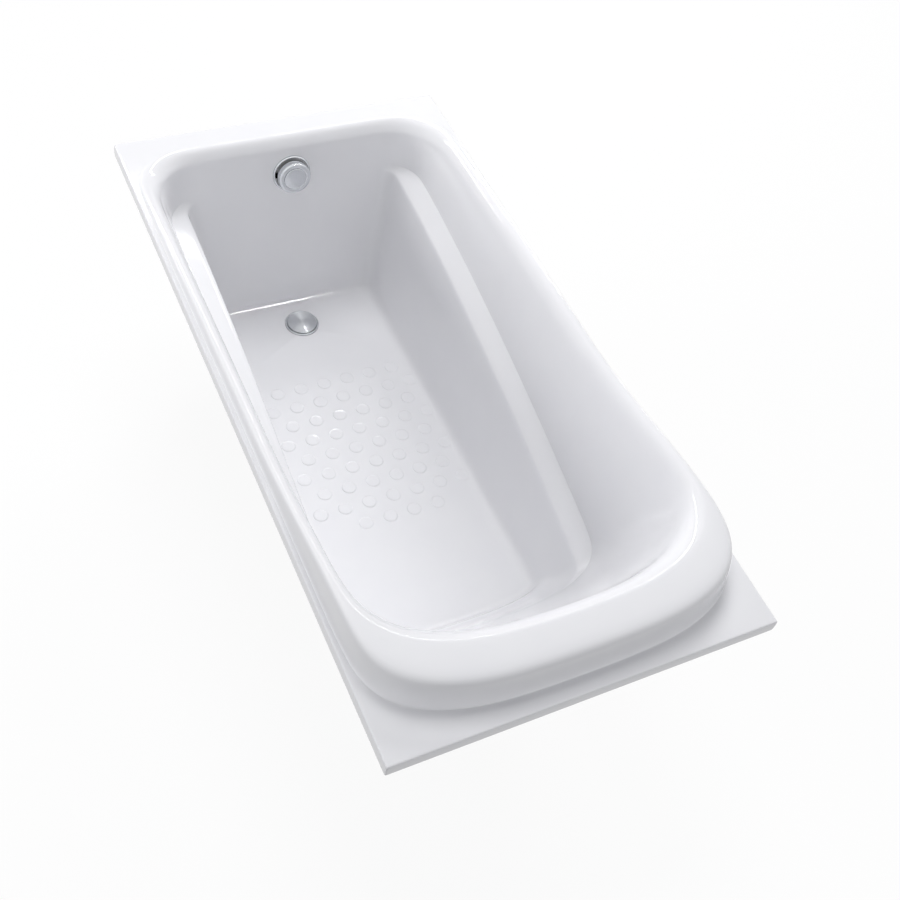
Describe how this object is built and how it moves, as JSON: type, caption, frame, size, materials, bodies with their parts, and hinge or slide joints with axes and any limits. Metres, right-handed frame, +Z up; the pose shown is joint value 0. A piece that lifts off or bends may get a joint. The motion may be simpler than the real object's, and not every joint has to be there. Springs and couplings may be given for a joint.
{
  "type": "built-in bathtub",
  "caption": "White rectangular built-in bathtub with raised headrest, sloping side ledges, dotted floor, pop-up drain and turning overflow knob on adjustable feet.",
  "frame": {"origin": "centre of the overall box on the floor under the feet", "axes": "+X along the length towards the head end with the headrest, +Y to the side with the wall clips, +Z up"},
  "size_m": [1.5, 0.75, 0.672],
  "materials": {
    "acrylic_shell": "gloss white",
    "chrome": "polished chrome plate",
    "rubber": "matt black",
    "waste_plastic": "matt white",
    "cable_sheath": "satin black",
    "brass": "turned",
    "zinc_steel": "zinc plated",
    "board": "raw chipboard",
    "foot_plastic": "matt black"
  },
  "bodies": {
    "tub": {"tub_shell": "acrylic_shell", "drain_flange": "chrome", "overflow_plate": "chrome", "drain_upper_seal": "rubber", "drain_lower_seal": "rubber", "overflow_gasket": "rubber", "waste_body": "waste_plastic", "lever_pin": "zinc_steel", "overflow_housing": "waste_plastic", "overflow_screws": "zinc_steel", "overflow_pipe": "waste_plastic", "pipe_upper_nut": "waste_plastic", "pipe_lower_nut": "waste_plastic", "release_cable": "cable_sheath", "cable_lower_gland": "brass", "cable_upper_gland": "brass", "trap_bend": "waste_plastic", "trap_inlet_nut": "waste_plastic", "trap_outlet_nut": "waste_plastic", "trap_outlet_pipe": "waste_plastic", "base_board": "board", "foot_end_rail": "zinc_steel", "head_end_rail": "zinc_steel", "rail_screws": "zinc_steel", "leg_lower_nuts": "zinc_steel", "leg_upper_nuts": "zinc_steel", "rim_clip_side_foot": "zinc_steel", "rim_clip_side_head": "zinc_steel", "rim_clip_foot_left": "zinc_steel", "rim_clip_foot_right": "zinc_steel"},
    "knob": {"overflow_knob": "chrome", "knob_cap": "chrome", "knob_spindle": "brass", "cable_drum": "waste_plastic"},
    "plug": {"plug_cap": "chrome", "plug_seal": "rubber", "plug_stem": "brass", "plug_height_screw": "brass"},
    "lever": {"lift_lever": "brass"},
    "foot_foot_end_left": {"leg_stud_foot_end_left": "zinc_steel", "leg_pad_foot_end_left": "foot_plastic"},
    "foot_foot_end_right": {"leg_stud_foot_end_right": "zinc_steel", "leg_pad_foot_end_right": "foot_plastic"},
    "foot_head_end_left": {"leg_stud_head_end_left": "zinc_steel", "leg_pad_head_end_left": "foot_plastic"},
    "foot_head_end_right": {"leg_stud_head_end_right": "zinc_steel", "leg_pad_head_end_right": "foot_plastic"}
  },
  "joints": [
    {"name": "knob_turn", "type": "hinge", "parent": "tub", "child": "knob", "pos_m": [-0.66175, 0, 0.515], "axis": [0.9889, 0, 0.1483], "range_deg": [0, 90]},
    {"name": "plug_lift", "type": "slide", "parent": "tub", "child": "plug", "axis": [0, 0, 1], "range_m": [0, 0.01005]},
    {"name": "lever_turn", "type": "hinge", "parent": "tub", "child": "lever", "pos_m": [-0.531, -0.02, 0.1095], "axis": [1, 0, 0], "range_deg": [0, 22.7]},
    {"name": "level_foot_end_left", "type": "slide", "parent": "tub", "child": "foot_foot_end_left", "axis": [0, 0, -1], "range_m": [0, 0.04]},
    {"name": "level_foot_end_right", "type": "slide", "parent": "tub", "child": "foot_foot_end_right", "axis": [0, 0, -1], "range_m": [0, 0.04]},
    {"name": "level_head_end_left", "type": "slide", "parent": "tub", "child": "foot_head_end_left", "axis": [0, 0, -1], "range_m": [0, 0.04]},
    {"name": "level_head_end_right", "type": "slide", "parent": "tub", "child": "foot_head_end_right", "axis": [0, 0, -1], "range_m": [0, 0.04]}
  ],
  "couplings": [
    {"joint": "plug_lift", "follows": "knob_turn", "m_per_rad": 0.0063662},
    {"joint": "lever_turn", "follows": "knob_turn", "ratio": 0.25147}
  ]
}
